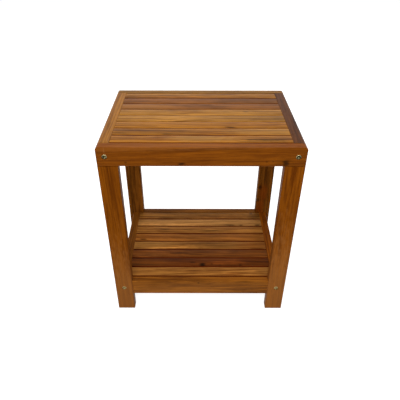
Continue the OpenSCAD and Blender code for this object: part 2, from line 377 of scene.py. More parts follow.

# %% [markdown]
# The spots are listed by board, in millimetres: where each one is from the board's middle, its
# half sizes, how dark it is and, for some, how far it pushes the rings aside. A negative darkness
# brightens instead, as along the front edges of many slats.

# %% Spots that the photograph shows
SPOTS = {
    "front_top_rail": [
        ((164.8, -10, -11.8), (9, 9, 8), 0.72, 3.5),
        ((160, -10, -12), (26, 9, 12), 0.22),
        ((-38.1, -10, -14.6), (9, 6, 3.4), 0.75, 0.8),
        ((-147.4, -10, -11.5), (3.5, 6, 3), 0.4, 0.8),
        ((126.6, -10, -9.5), (3, 6, 2.6), 0.35, 0.8),
        ((138.6, -10, -9.4), (3, 6, 2.6), 0.35, 0.8),
        ((-110, -10, -19), (70, 8, 9), 0.12),
        # painted shade along the lower edge, which faces down
        ((0, -10, -21), (300, 8, 3.5), 0.25),
        ((0, -10, 15), (260, 8, 6), 0.12),
        ((66, 9, 20.5), (13, 2.4, 3), 0.8),
        ((157, 9, 20.5), (16, 2.2, 3), 0.7),
    ],
    "back_left_leg": [
        ((-11, -10, -60), (10, 10, 150), 0.28),
        ((14, -10, -80), (8, 10, 120), -0.25),
    ],
    "back_right_leg": [
        ((-13, -10, -26), (7, 8, 9), 0.75, 3.0),
        ((-17, -10, -70), (5, 8, 9), 0.5, 1.5),
        ((8, -10, -30), (8, 10, 60), 0.15),
    ],
    "seat_slat_1": [
        ((130, -4.5, 7), (56, 3.6, 4), 0.78),
        ((98.6, -4.5, 7), (15, 3.2, 4), 0.65),
        ((150, 0, 7), (110, 18, 20), 0.26),
        ((-135, 0, 7), (60, 18, 20), 0.12),
        ((-100, 0, 7), (70, 5, 8), -0.18),
        ((124, -11.5, 7), (78, 4, 8), 0.48),
    ],
    "seat_slat_2": [
        ((-110, 0, 7), (130, 25, 20), 0.24),
        ((-69, -11, 7), (14, 4, 4), 0.45, 0.5),
        ((20, -9, 7), (56, 5, 8), -0.2),
        ((-160, -8, 7), (30, 7, 8), 0.2),
        ((162, 0, 7), (26, 20, 20), 0.18),
    ],
    "seat_slat_3": [
        ((59.3, -12.2, 7), (14, 3, 3), 0.85, 0.5),
        ((120, 5, 7), (70, 9, 10), -0.2),
        ((150, -10, 7), (40, 5, 8), 0.16),
        ((-160, 6, 7), (40, 9, 10), 0.14),
    ],
    "seat_slat_4": [
        ((-59.7, -10.6, 7), (50, 3.4, 4), -0.5),
        ((-120, 0, 7), (110, 20, 20), -0.12),
        ((140, 0, 7), (120, 20, 20), 0.2),
        ((166, -6, 7), (24, 12, 12), 0.16),
        ((170, 0, 7), (20, 20, 20), 0.12),
    ],
    "seat_slat_5": [
        ((100, 2.5, 7), (9, 4, 5), 0.5, 1.5),
        ((56, 1, 7), (12, 4, 5), 0.25, 1.2),
        ((0, 0, 7), (90, 25, 20), -0.1),
        ((140, 0, 7), (90, 25, 20), 0.1),
        ((-38, 5, 7), (28, 9, 10), -0.27),
        ((58, 0, 7), (40, 8, 8), 0.2),
    ],
    "seat_slat_6": [
        ((-130, 0, 7), (90, 25, 20), -0.06),
        ((-40, 9, 7), (80, 5, 8), -0.2),
        ((-150, -9, 7), (44, 5, 8), -0.16),
        ((166, 3, 7), (22, 12, 12), -0.15),
    ],
    "seat_slat_7": [
        ((58, -3, 7), (42, 8, 6), 0.35, 1.0),
        ((-120, 0, 7), (110, 25, 20), -0.14),
        ((170, 0, 7), (170, 25, 20), 0.2),
        ((130, 9, 7), (66, 5, 8), -0.18),
        ((-150, -9, 7), (48, 5, 8), -0.17),
        ((117, -9, 7), (24, 5, 8), 0.16),
    ],
    "seat_slat_8": [
        ((-14, -6, 7), (34, 6, 6), -0.25),
        ((-30, -9, 7), (170, 7, 8), -0.5),
        ((-160, 6, 7), (32, 10, 10), 0.12),
        ((-85, -10, 7), (60, 5, 8), -0.22),
        ((168, 0, 7), (44, 20, 20), 0.14),
    ],
    "front_shelf_rail": [
        ((0, -2, 21), (260, 12, 5), 0.1),
        ((-4, -9, 15.9), (3.4, 3, 3), 0.7, 1.0),
        # painted shade along the lower edge, which faces down
        ((0, -9, -21), (260, 9, 4.5), 0.3),
        ((110, -9, 19.6), (34, 4, 4), 0.3, 1.0),
    ],
    "shelf_slat_1": [
        ((150, 0, 7), (110, 25, 20), -0.25),
        ((10, 0, 7), (80, 25, 20), -0.2),
        ((-130, 0, 7), (90, 25, 20), 0.1),
        ((-70, -10, 7), (110, 8, 10), 0.1),
        ((76, -9, 7), (36, 6, 8), -0.7),
        ((165, 0, 7), (38, 25, 20), 0.34),
        ((-105, 9, 7), (44, 5, 8), -0.16),
    ],
    "shelf_slat_2": [
        ((6.2, -10, 7), (11, 10, 8), 0.9, 4.0),
        ((-18, -1.5, 7), (10, 3.5, 5), 0.5),
        ((30, -6.5, 7), (4, 3, 4), 0.6, 0.8),
        ((50, -10.5, 7), (5, 3, 4), 0.5, 0.8),
        ((101, -10, 7), (6, 3.5, 4), 0.7, 1.2),
        ((47, -3, 7), (26, 10, 12), -0.6, 1.5),
        ((90, -1, 7), (34, 12, 12), -0.55, 1.5),
        ((-140, -4, 7), (80, 20, 20), -0.06),
        ((130, -5, 7), (60, 12, 20), 0.2),
    ],
    "shelf_slat_3": [
        ((0, 0, 7), (60, 25, 20), 0.2),
        ((-130, 0, 7), (110, 25, 20), -0.24),
        ((-10, -3, 7), (36, 2.6, 4), 0.55),
        ((88, 7, 7), (22, 7, 6), 0.3, 2.0),
        ((-55, 0, 7), (46, 5, 6), 0.5),
        ((-140, -9, 7), (50, 6, 8), -0.45),
        ((-152, 0, 7), (28, 20, 20), -0.28),
        ((-62, 0, 7), (44, 6, 8), 0.18),
    ],
    "shelf_slat_4": [
        ((-130, 0, 7), (160, 25, 20), -0.9),
        ((20, 0, 7), (70, 25, 20), 0.15),
        ((150, -13.5, 7), (24, 2.6, 4), 0.75),
        ((-100, 9, 7), (120, 8, 10), 0.25),
        ((-60, -10, 7), (120, 6, 8), -0.25),
        ((-90, 1, 7), (110, 5, 10), 0.13),
        ((52, 0, 7), (42, 6, 8), -0.16),
        ((165, 0, 7), (40, 20, 20), 0.2),
    ],
    "shelf_slat_5": [
        ((-140, 0, 7), (110, 25, 20), -0.4),
        ((-152, -9, 7), (12, 4.5, 5), 0.7, 0.4),
        ((10, 0, 7), (70, 25, 20), 0.12),
        ((110, 0, 7), (60, 20, 14), -0.18, 0.8),
        ((165, 0, 7), (30, 20, 20), 0.14),
        ((-148, 0, 7), (32, 6, 8), -0.35),
        ((4, 9, 7), (34, 5, 8), -0.28),
    ],
    "shelf_slat_6": [
        ((-97, 2, 7), (22, 6, 5), 0.4, 1.0),
        ((47, -4, 7), (48, 2.2, 5), 0.8),
        ((84, -9.5, 7), (32, 2.4, 4), -0.4),
        ((-17, 0, 7), (42, 6, 6), 0.3),
        ((22, -9, 7), (36, 6, 6), 0.28),
        ((125, -10, 7), (36, 5, 6), -0.2),
        ((130, 0, 7), (90, 25, 20), -0.15),
        ((-140, 0, 7), (80, 25, 20), -0.15),
        ((14, 9, 7), (64, 5, 8), -0.28),
    ],
    "shelf_slat_7": [
        ((-150, -10, 7), (50, 6, 8), -0.85),
        ((-30, -10, 7), (110, 6, 8), -0.45),
        ((-100, 9, 7), (120, 7, 8), 0.17),
        ((140, -10, 7), (50, 5, 8), 0.12),
        ((83, -11.5, 7), (20, 2.8, 4), 0.85),
        ((116, -11.5, 7), (8, 2.8, 4), 0.8),
        ((162, -11, 7), (9, 3, 4), 0.85),
    ],
    "shelf_slat_8": [
        ((130, 0, 7), (110, 25, 20), -0.2),
        ((150, 10, 7), (7, 4, 5), 0.7, 0.6),
        ((131, 3.5, 7), (12, 2.8, 4), 0.5),
        # these two: painted shade along the back edge, beside the back rail
        ((0, 11, 7), (240, 6, 10), 0.38),
        ((-90, 10, 7), (120, 7, 10), 0.2),
        ((85, 0, 7), (62, 7, 8), -0.2),
        ((60, -10, 7), (62, 6, 8), -0.6),
        ((4, -10, 7), (44, 6, 8), -0.4),
        ((-150, -10, 7), (40, 6, 8), -0.6),
        ((-85, -9, 7), (30, 6, 8), 0.15),
        ((157, -2, 7), (27, 20, 20), 0.45),
    ],
}
print("boards with spots:", len(SPOTS))

# %% [markdown]
# Patches are mixed into the finished colour instead, and each of them ends with a share and a
# colour. A paler teak lightens the feet, the top edge and one small mark of the front rail, and the
# front of the shelf's front rail. A little yellow sapwood shows in some slats, and redder heartwood
# in one slat and about the knots of a back leg.

# %% Patches that the photograph shows
PALER_TEAK = "#b87a40"
SAPWOOD = "#dcae60"
HEARTWOOD = "#a04508"
PATCHES = {
    "front_left_leg": [((0, 0, -215), (90, 90, 255), 0.39, PALER_TEAK)],
    "front_right_leg": [((0, 0, -205), (90, 90, 300), 0.42, PALER_TEAK)],
    "back_right_leg": [
        ((-3, -10, -45), (15, 14, 34), 0.4, HEARTWOOD),
        ((-8, -10, -95), (14, 14, 36), 0.45, HEARTWOOD),
    ],
    "front_top_rail": [
        ((0, 3, 22), (330, 40, 9), 0.16, PALER_TEAK),
        ((-186.6, -10, 14.4), (1.2, 4, 8), 0.3, PALER_TEAK),
    ],
    "front_shelf_rail": [((0, -10, -3), (260, 9, 24), 0.17, PALER_TEAK)],
    "seat_slat_1": [((0, 2, 7), (90, 18, 20), 0.18, SAPWOOD)],
    "seat_slat_2": [((140, 0, 7), (120, 25, 20), 0.14, SAPWOOD)],
    "seat_slat_6": [((-140, 0, 7), (110, 25, 20), 0.06, SAPWOOD)],
    "shelf_slat_2": [((-140, -4, 7), (90, 18, 20), 0.025, SAPWOOD)],
    "shelf_slat_3": [((-140, -6, 7), (60, 12, 20), 0.03, SAPWOOD)],
    "shelf_slat_4": [
        ((-140, 0, 7), (110, 25, 20), 0.12, SAPWOOD),
        ((150, 0, 7), (70, 25, 20), 0.2, HEARTWOOD),
    ],
}
print("boards with patches:", len(PATCHES))

# %% [markdown]
# ## One finish for each board
# No two boards of the bench are alike. They come from different logs, and range from straw and
# honey through amber and russet to umber. Each tone is a pair of colours, for the wood between the
# rings and for the dark lines. Each board gets a material of its own, which turns the grain along
# the board and cuts it from its own part of the tree, so no pattern shows twice. A board's name is
# the seed of its place there, so it is the same in every run.

# %% Tones of teak, and where a board was cut
TONES = {
    "wheat": ("#d0914e", "#895b2a"),
    "straw": ("#cc8d3b", "#845318"),
    "honey": ("#bf7c27", "#713f0f"),
    "hazel": ("#a86628", "#633610"),
    "amber": ("#a0570d", "#652e05"),
    "tan": ("#a5621d", "#6b3a0e"),
    "russet": ("#a26a2e", "#5c3411"),
    "umber": ("#7e4619", "#421f09"),
    "chestnut": ("#7e4013", "#421b06"),
}
LOG_LENGTH = 6.0
PITH_NEAR = 0.035
PITH_FAR = 0.11
RING_SLANT = (15, 75)
RUN_OUT = math.radians(2.2)
LEAST_YAW = 0.3


def place_in_log(board):
    """A board's middle in its tree, and a small turn, as no saw follows the grain quite true."""
    dice = random.Random(board)
    distance = dice.uniform(PITH_NEAR, PITH_FAR)
    angle = math.radians(dice.uniform(*RING_SLANT) + dice.choice((0, 90)))
    along = dice.uniform(0, LOG_LENGTH)
    pitch = dice.uniform(-RUN_OUT, RUN_OUT)
    yaw = dice.choice((-1, 1)) * dice.uniform(LEAST_YAW, 1) * RUN_OUT
    middle = Vector((along, distance * math.cos(angle), distance * math.sin(angle)))
    return middle, Euler((0, pitch, yaw)).to_matrix()


print("tones:", ", ".join(TONES))

# %% [markdown]
# The board's material feeds the two groups and puts their results together. Two masks come from
# the way a surface faces. One finds the ends of a board. The other finds the narrow faces of a
# slat that look into the gaps, and paints shade on them in a dark, reddish brown, as little light
# gets in there. Without this painted shade the gaps would look too pale, because the soft light
# of the scene reaches far into them.

# %% The material of one board
GRAIN_TURN = {"X": (0, 0, 0), "Y": (0, 0, -math.pi / 2), "Z": (0, math.pi / 2, 0)}
AXES = {"X": (1, 0, 0), "Y": (0, 1, 0), "Z": (0, 0, 1)}
OIL_TINT = (1.0, 0.8, 0.5, 1.0)
# dark reddish brown of the painted shade in the gaps
GAP_SHADE_COLOUR = "#5c1c02"
GAP_LEVELS = (0.3, 0.8)
END_LEVELS = (0.6, 0.9)
GRAIN_STRENGTH = 0.35
GRAIN_HEIGHT = 0.15 * MM


def teak(board, tone, along, depth=1.0, figure=1.0, streaks=0.0, shine=0.1, gap_shade=0.0):
    """Oiled teak in a tone, grain along X, Y or Z, the board's own spots, and painted shade in
    gaps.
    """
    material, tree = new_material("teak_" + board)
    low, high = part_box(board)
    middle, lean = place_in_log(board)
    straight = Euler(GRAIN_TURN[along]).to_matrix()
    turn = lean @ straight
    shift = middle - turn @ ((low + high) / 2)
    coordinates = put(tree, "ShaderNodeTexCoord").outputs
    inputs = {"Vector": coordinates["Object"], "Location": shift, "Rotation": turn.to_euler()}
    place = put(tree, "ShaderNodeMapping", inputs).outputs["Vector"]
    on_end = squareness(tree, coordinates["Normal"], AXES[along])
    in_gap = squareness(tree, coordinates["Normal"], AXES["Y"])

    def draw_spot(centre, size, swelling=0.0):
        inputs = {
            "Place": place,
            "Centre": middle + turn @ Vector(centre) * MM,
            "Size": [abs(c) * MM for c in straight @ Vector(size)],
            "Swell": swelling * MM,
        }
        return put(tree, "ShaderNodeGroup", inputs, node_tree=spot).outputs

    kept, swell = 1.0, 0.0
    for centre, size, darkness, *swelling in SPOTS.get(board, []):
        drawn = draw_spot(centre, size, *swelling)
        kept = darkened(tree, kept, drawn["Inside"], darkness)
        swell = calc(tree, "ADD", swell, drawn["Swell"])

    inputs = {
        "Place": place,
        "Light tone": linear(TONES[tone][0], depth),
        "Dark tone": linear(TONES[tone][1], depth),
        "Figure": figure,
        "Streaks": streaks,
        "Swell": swell,
        "End grain": smooth_step(tree, on_end, *END_LEVELS),
    }
    wood = put(tree, "ShaderNodeGroup", inputs, node_tree=grain).outputs
    colour = scaled(tree, wood["Colour"], kept)
    for centre, size, share, patch_colour in PATCHES.get(board, []):
        share = calc(tree, "MULTIPLY", draw_spot(centre, size)["Inside"], share)
        colour = mixed(tree, share, colour, linear(patch_colour))
    # painted shade on the narrow faces that look into the gaps
    gap_shaded = smooth_step(tree, in_gap, *GAP_LEVELS, 0.0, gap_shade)
    colour = mixed(tree, gap_shaded, colour, linear(GAP_SHADE_COLOUR))
    shader = lay_surface(
        tree, colour, wood["Roughness"], wood["Height"], GRAIN_STRENGTH, GRAIN_HEIGHT
    )
    shader.inputs["Specular IOR Level"].default_value = shine
    shader.inputs["Specular Tint"].default_value = OIL_TINT
    return material


print("grain can run along", ", ".join(GRAIN_TURN))

# %% [markdown]
# ## Legs, rails and end boards
# The CAD boards already have the right shape, with eased edges, holes and grooves, so they stay
# as they are and only their material changes. The grain runs along each board: up the legs, from
# side to side in the front and back rails, and from front to back in the boards at the ends. For
# each board the list gives its tone, the way of its grain, the depth of the tone (a lower number
# is darker), how lively the figure is, and how much the oil shines.


# %% Dress the frame boards
def dress(node, material):
    """Puts a material on every slot of a CAD node."""
    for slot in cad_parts[node].material_slots:
        slot.material = material


FRAME_BOARDS = {
    "front_left_leg": ("amber", "Z", 0.82, 0.6, 0.02),
    "front_right_leg": ("amber", "Z", 0.92, 0.6, 0.02),
    "back_left_leg": ("tan", "Z", 0.8, 0.9, 0.02),
    "back_right_leg": ("tan", "Z", 0.82, 0.9, 0.02),
    "front_top_rail": ("amber", "X", 0.89, 0.5, 0.06),
    "back_top_rail": ("straw", "X", 0.51, 0.9, 0.06),
    "left_end_board": ("honey", "Y", 0.8, 0.55, 0.1),
    "right_end_board": ("umber", "Y", 0.64, 0.7, 0.08),
    "front_shelf_rail": ("tan", "X", 1.05, 0.9, 0.06),
    "back_shelf_rail": ("tan", "X", 0.66, 0.9, 0.05),
    "left_shelf_rail": ("tan", "Y", 0.94, 0.7, 0.05),
    "right_shelf_rail": ("amber", "Y", 1.2, 0.7, 0.05),
}
for board, (tone, along, depth, figure, shine) in FRAME_BOARDS.items():
    dress(board, teak(board, tone, along, depth=depth, figure=figure, shine=shine))
print("dressed", len(FRAME_BOARDS), "boards")

# %% [markdown]
# ## Slats
# The seat and the shelf are rows of eight slats. Each slat is a planed board with eased edges and
# a thin tenon at each end, which is glued into a groove in the board there. A row repeats by rule,
# so Geometry Nodes make it: a rectangle with rounded corners is swept along a line, the tenons are
# joined to it, and one slat is set on each point of a row.

# %% A tree that grows a row of slats
EDGE_STEPS = 3

board_sizes = ["Length", "Width", "Thickness", "Edge radius"]
tenon_sizes = ["Tenon length", "Tenon width", "Tenon thickness"]
slat_row, given, result = new_group(
    "GeometryNodeTree",
    "slat_row",
    {"Geometry": ["Geometry"], "Float": board_sizes + tenon_sizes, "Material": ["Material"]},
    {"Geometry": ["Geometry"]},
)

section = {"Width": given["Width"], "Height": given["Thickness"]}
section = put(slat_row, "GeometryNodeCurvePrimitiveQuadrilateral", section, mode="RECTANGLE")
rounding = {
    "Curve": section.outputs[0],
    "Count": EDGE_STEPS,
    "Radius": given["Edge radius"],
    "Limit Radius": True,
}
section = put(slat_row, "GeometryNodeFilletCurve", rounding, mode="POLY").outputs[0]
right = calc(slat_row, "MULTIPLY", given["Length"], 0.5)
left = calc(slat_row, "MULTIPLY", right, -1.0)
path = {
    "Start": put(slat_row, "ShaderNodeCombineXYZ", {"X": left}).outputs[0],
    "End": put(slat_row, "ShaderNodeCombineXYZ", {"X": right}).outputs[0],
}
path = put(slat_row, "GeometryNodeCurvePrimitiveLine", path).outputs[0]
path = put(slat_row, "GeometryNodeSetCurveNormal", {"Curve": path}, mode="Z_UP").outputs[0]
slat = {"Curve": path, "Profile Curve": section, "Fill Caps": True}
slat = put(slat_row, "GeometryNodeCurveToMesh", slat).outputs[0]

whole_length = calc(slat_row, "MULTIPLY_ADD", given["Tenon length"], 2.0, given["Length"])
tenons = {"X": whole_length, "Y": given["Tenon width"], "Z": given["Tenon thickness"]}
tenons = put(slat_row, "ShaderNodeCombineXYZ", tenons).outputs[0]
tenons = put(slat_row, "GeometryNodeMeshCube", {"Size": tenons}).outputs[0]
joined = put(slat_row, "GeometryNodeMeshBoolean", operation="UNION")
slat_row.links.new(slat, joined.inputs["Mesh 2"])
slat_row.links.new(tenons, joined.inputs["Mesh 2"])
row = {"Points": given["Geometry"], "Instance": joined.outputs[0]}
row = put(slat_row, "GeometryNodeInstanceOnPoints", row).outputs[0]
row = put(slat_row, "GeometryNodeRealizeInstances", {"Geometry": row}).outputs[0]
row = put(slat_row, "GeometryNodeSetMaterial", {"Geometry": row, "Material": given["Material"]})
slat_row.links.new(row.outputs[0], result["Geometry"])
print("slat row nodes:", len(slat_row.nodes))

# %% [markdown]
# A tree runs as a modifier. The helper below puts it on a mesh that is only points, reads off the
# result as a plain mesh, and takes the modifier away again, because the finished model holds
# meshes and not modifiers. The inputs of a tree are set on the modifier by the identifier of
# their socket, since two sockets may share a name.


# %% Run a tree and keep its mesh
def grow(name, tree, points, values):
    """Object with the mesh that a Geometry Nodes tree makes from a mesh of points."""
    grown = add_object(name, points)
    modifier = grown.modifiers.new("grow", "NODES")
    modifier.node_group = tree
    sockets = [item for item in tree.interface.items_tree if item.in_out == "INPUT"]
    identifiers = {socket.name: socket.identifier for socket in sockets}
    for socket, value in values.items():
        modifier[identifiers[socket]] = value
    depsgraph = bpy.context.evaluated_depsgraph_get()
    grown_mesh = bpy.data.meshes.new_from_object(grown.evaluated_get(depsgraph))
    grown.modifiers.clear()
    grown.data = grown_mesh
    return grown


print("ready to grow rows")

# %% [markdown]
# The length, width and thickness of a slat come from the CAD slats, and so does the middle of
# each. A slat's box has the tenons in it, so their length is taken off for the swept board.

# %% Grow a row of slats
SLATS = 8
TENON_LENGTH = 8 * MM
TENON_THICKNESS = 8 * MM
EDGE_RADIUS = 1.5 * MM


def grow_slats(row, material):
    """One object that holds the slats of the seat or the shelf, each marked with its number."""
    boxes = [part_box(f"{row}_slat_{count}") for count in range(1, SLATS + 1)]
    points = bpy.data.meshes.new(row + "_row")
    points.from_pydata([(low + high) / 2 for low, high in boxes], [], [])
    marks = points.attributes.new("slat", "INT", "POINT")
    marks.data.foreach_set("value", range(1, SLATS + 1))
    low, high = boxes[0]
    size = high - low
    values = {
        "Length": size.x - 2 * TENON_LENGTH,
        "Width": size.y,
        "Thickness": size.z,
        "Edge radius": EDGE_RADIUS,
        "Tenon length": TENON_LENGTH,
        "Tenon width": size.y - 2 * EDGE_RADIUS,
        "Tenon thickness": TENON_THICKNESS,
        "Material": material,
    }
    return grow(row + "_slats", slat_row, points, values)


print("slats in a row:", SLATS)

# %% [markdown]
# Each slat needs a material of its own. So each row is taken apart again by the numbers that its
# points carried, into eight pieces that stand for the eight CAD slats. Only edges sharper than 50
# degrees are marked sharp, which keeps the sawn ends crisp. The strips round a long edge shade as
# one soft curve, and the wide faces join in it, so they look very slightly crowned, as worn slats
# do.

# %% Take one slat out of a row
SHARP_ANGLE = math.radians(50)


def single_slat(slats, count, name, material):
    """A piece with one slat out of a row."""
    mesh = slats.data.copy()
    mesh.name = name
    form = bmesh.new()
    form.from_mesh(mesh)
    mark = form.verts.layers.int["slat"]
    others = [corner for corner in form.verts if corner[mark] != count]
    bmesh.ops.delete(form, geom=others, context="VERTS")
    form.to_mesh(mesh)
    form.free()
    mesh.set_sharp_from_angle(angle=SHARP_ANGLE)
    mesh.materials.clear()
    mesh.materials.append(material)
    return add_object(name, mesh)


print("edges are sharp above", round(math.degrees(SHARP_ANGLE)), "degrees")

# %% [markdown]
# The lists run from the front to the back. They give each slat's tone, the depth of the tone, and
# how dark the painted shade in its gaps is. In the photograph the gaps are dark at the front of
# the seat and all over the shelf, and faint in the middle of the seat.

# %% Dress the slats
SEAT_TONES_AND_GAP_SHADE = [
    ("honey", 1.06, 0.9),
    ("honey", 0.94, 0.85),
    ("honey", 0.98, 0.55),
    ("straw", 0.82, 0.2),
    ("straw", 0.91, 0.3),
    ("hazel", 0.78, 0.3),
    ("hazel", 0.74, 0.5),
    ("honey", 0.8, 0.5),
]
# Depths on the shelf run higher than on the seat, as painted light that makes up for the shade the
# seat casts there.
SHELF_TONES_LIGHT_AND_SHADE = [
    ("russet", 1.42, 1.0),
    ("chestnut", 0.93, 1.0),
    ("umber", 1.26, 1.0),
    ("russet", 1.06, 1.0),
    ("hazel", 1.08, 1.0),
    ("russet", 1.4, 1.0),
    ("wheat", 0.95, 1.0),
    ("russet", 1.12, 1.0),
]
ROW_FINISH = {
    "seat": {"figure": 0.8, "streaks": 0.6, "shine": 0.08},
    "shelf": {"figure": 0.7, "streaks": 0.5, "shine": 0.05},
}

for row, tones in (("seat", SEAT_TONES_AND_GAP_SHADE), ("shelf", SHELF_TONES_LIGHT_AND_SHADE)):
    materials = []
    for count, (tone, depth, shade_in_gaps) in enumerate(tones, start=1):
        board = f"{row}_slat_{count}"
        finish = dict(ROW_FINISH[row], depth=depth, gap_shade=shade_in_gaps)
        materials.append(teak(board, tone, "X", **finish))
    slats = grow_slats(row, materials[0])
    for count, material in enumerate(materials, start=1):
        board = f"{row}_slat_{count}"
        piece = single_slat(slats, count, "eased_" + board, material)
        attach(piece, "root")
        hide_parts(board)
    corners = len(slats.data.vertices)
    print(row, "slats:", len(materials), "with", corners, "corners in the row")
    bpy.data.objects.remove(slats)

# %% [markdown]
# ## Bolts
# The bolts are cap screws with a round head, a soft rim and a hex socket, plated a yellowish
# brass. A lathe turns such a shape, and code can do the same: a list of rings from the floor of
# the socket, over the head and down the shank, joined by strips of faces. A ring may be round,
# six-sided for the socket, or follow a screw thread.

# %% Rules for the rings of a bolt
THREAD_PITCH = 1 * MM
THREAD_DEPTH = 0.5 * MM


def round_ring(radius):
    """Radius rule of a plain circle."""
    return lambda angle, height: radius


def hex_ring(width):
    """Radius rule of a hexagon, as wide as a hex key across its flats."""
    sixth = math.pi / 3
    return lambda angle, height: width / 2 / math.cos((angle + sixth / 2) % sixth - sixth / 2)


def thread_ring(radius):
    """Radius rule of a screw thread, which rises and falls once in each turn."""

    def at(angle, height):
        turns = (height / THREAD_PITCH + angle / (2 * math.pi)) % 1.0
        return radius - THREAD_DEPTH * abs(2 * turns - 1)

    return at


print("a thread turns every", THREAD_PITCH / MM, "mm")

# %% [markdown]
# The socket has a dished floor and a small slanting mouth. The last number of a ring, from 0 to 1,
# is how much painted shade the material puts there: the socket is full of it, and the rim gets
# less of it the further out it goes.

# %% List the rings of one bolt
HEAD_WIDTH = 10 * MM
HEAD_HEIGHT = 5 * MM
RIM_WIDTH = 1.5 * MM
RIM_DROP = 1.2 * MM
RIM_STEPS = 5
SOCKET_WIDTH = 5 * MM
SOCKET_DEPTH = 3 * MM
MOUTH_DEPTH = 0.4 * MM
SHANK_WIDTH = 6 * MM
SHANK_LENGTH = 50 * MM
THREAD_LENGTH = 22 * MM
THREAD_STEP = 0.25 * MM

face_radius = HEAD_WIDTH / 2 - RIM_WIDTH
rings = [
    (hex_ring(SOCKET_WIDTH * 0.6), -SOCKET_DEPTH, 0.8),
    (hex_ring(SOCKET_WIDTH * 0.9), -SOCKET_DEPTH * 0.93, 1.0),
    (hex_ring(SOCKET_WIDTH), -SOCKET_DEPTH * 0.85, 1.0),
    (hex_ring(SOCKET_WIDTH), -MOUTH_DEPTH, 1.0),
    (round_ring(SOCKET_WIDTH * 0.6), 0.0, 1.0),
    (round_ring(face_radius), 0.0, 0.9),
]
for rim_step in range(1, RIM_STEPS + 1):
    bend = math.radians(90 / RIM_STEPS * rim_step)
    radius = face_radius + RIM_WIDTH * math.sin(bend)
    rings.append((round_ring(radius), -RIM_DROP * (1 - math.cos(bend)), 0.3 / rim_step))
rings.append((round_ring(HEAD_WIDTH / 2), -HEAD_HEIGHT, 0.3))
rings.append((round_ring(SHANK_WIDTH / 2), -HEAD_HEIGHT, 0.3))
bolt_end = -HEAD_HEIGHT - SHANK_LENGTH
thread_start = bolt_end + THREAD_LENGTH
rings.append((round_ring(SHANK_WIDTH / 2), thread_start, 0.2))
for turn_step in range(1, round((THREAD_LENGTH - THREAD_PITCH) / THREAD_STEP)):
    height = thread_start - turn_step * THREAD_STEP
    rings.append((thread_ring(SHANK_WIDTH / 2), height, 0.3))
rings.append((round_ring(SHANK_WIDTH / 2 - THREAD_DEPTH), bolt_end + THREAD_PITCH / 2, 0.3))
rings.append((round_ring(SHANK_WIDTH / 3), bolt_end, 0.3))
print("rings on a bolt:", len(rings))

# %% [markdown]
# Strips of faces join each ring to the next, and one face closes each end, so the bolt is a solid
# without a hole. All faces are shaded smooth except across sharp edges, such as the socket's.

# %% Build the bolt's mesh
SIDES = 48
BOLT_SHARP_ANGLE = math.radians(40)


def turned_mesh(name, rings):
    """Closed mesh through a list of rings, each a radius rule, a height and a painted shade value.
    """
    corners, faces, painted_shade = [], [], []
    for radius_at, height, ring_shade in rings:
        for side in range(SIDES):
            angle = 2 * math.pi * side / SIDES
            radius = radius_at(angle, height)
            corners.append((radius * math.cos(angle), radius * math.sin(angle), height))
            painted_shade.append(ring_shade)
    for upper in range(0, SIDES * (len(rings) - 1), SIDES):
        lower = upper + SIDES
        for side in range(SIDES):
            after = (side + 1) % SIDES
            faces.append((upper + side, lower + side, lower + after, upper + after))
    faces.append(tuple(range(SIDES)))
    faces.append(tuple(reversed(range(len(corners) - SIDES, len(corners)))))
    mesh = bpy.data.meshes.new(name)
    mesh.from_pydata(corners, [], faces)
    mesh.attributes.new("painted_shade", "FLOAT", "POINT").data.foreach_set("value", painted_shade)
    mesh.set_sharp_from_angle(angle=BOLT_SHARP_ANGLE)
    for polygon in mesh.polygons:
        polygon.use_smooth = True
    return mesh


bolt_pattern = bpy.data.objects.new("bolt_pattern", turned_mesh("bolt_pattern", rings))
print("faces on a bolt:", len(bolt_pattern.data.polygons))

# %% [markdown]
# The metal is not clean: plating dulls in patches, and wiping leaves fine scratches. The socket
# gets painted shade, so that it looks dark inside a bright rim. Its lower wall faces up, and the
# painted shade is left off it, so it stays bright. Parts that face down get painted shade too.

# %% Plated brass
TARNISH_REPEATS = (420, 420, 420)
TARNISH_LEVELS = (0.42, 0.66)
SCRATCH_REPEATS = (9000, 500, 500)
UPWARD_LEVELS = (0.3, 0.8)
UNDERSIDE_LEVELS = (-0.6, 0.2)
UNDERSIDE_SHADE = 0.7
TARNISH_AND_SHADE_ROUGHNESS = 0.25
SCRATCH_ROUGHNESS = 0.1
SCRATCH_STRENGTH = 0.2
SCRATCH_HEIGHT = 0.05 * MM


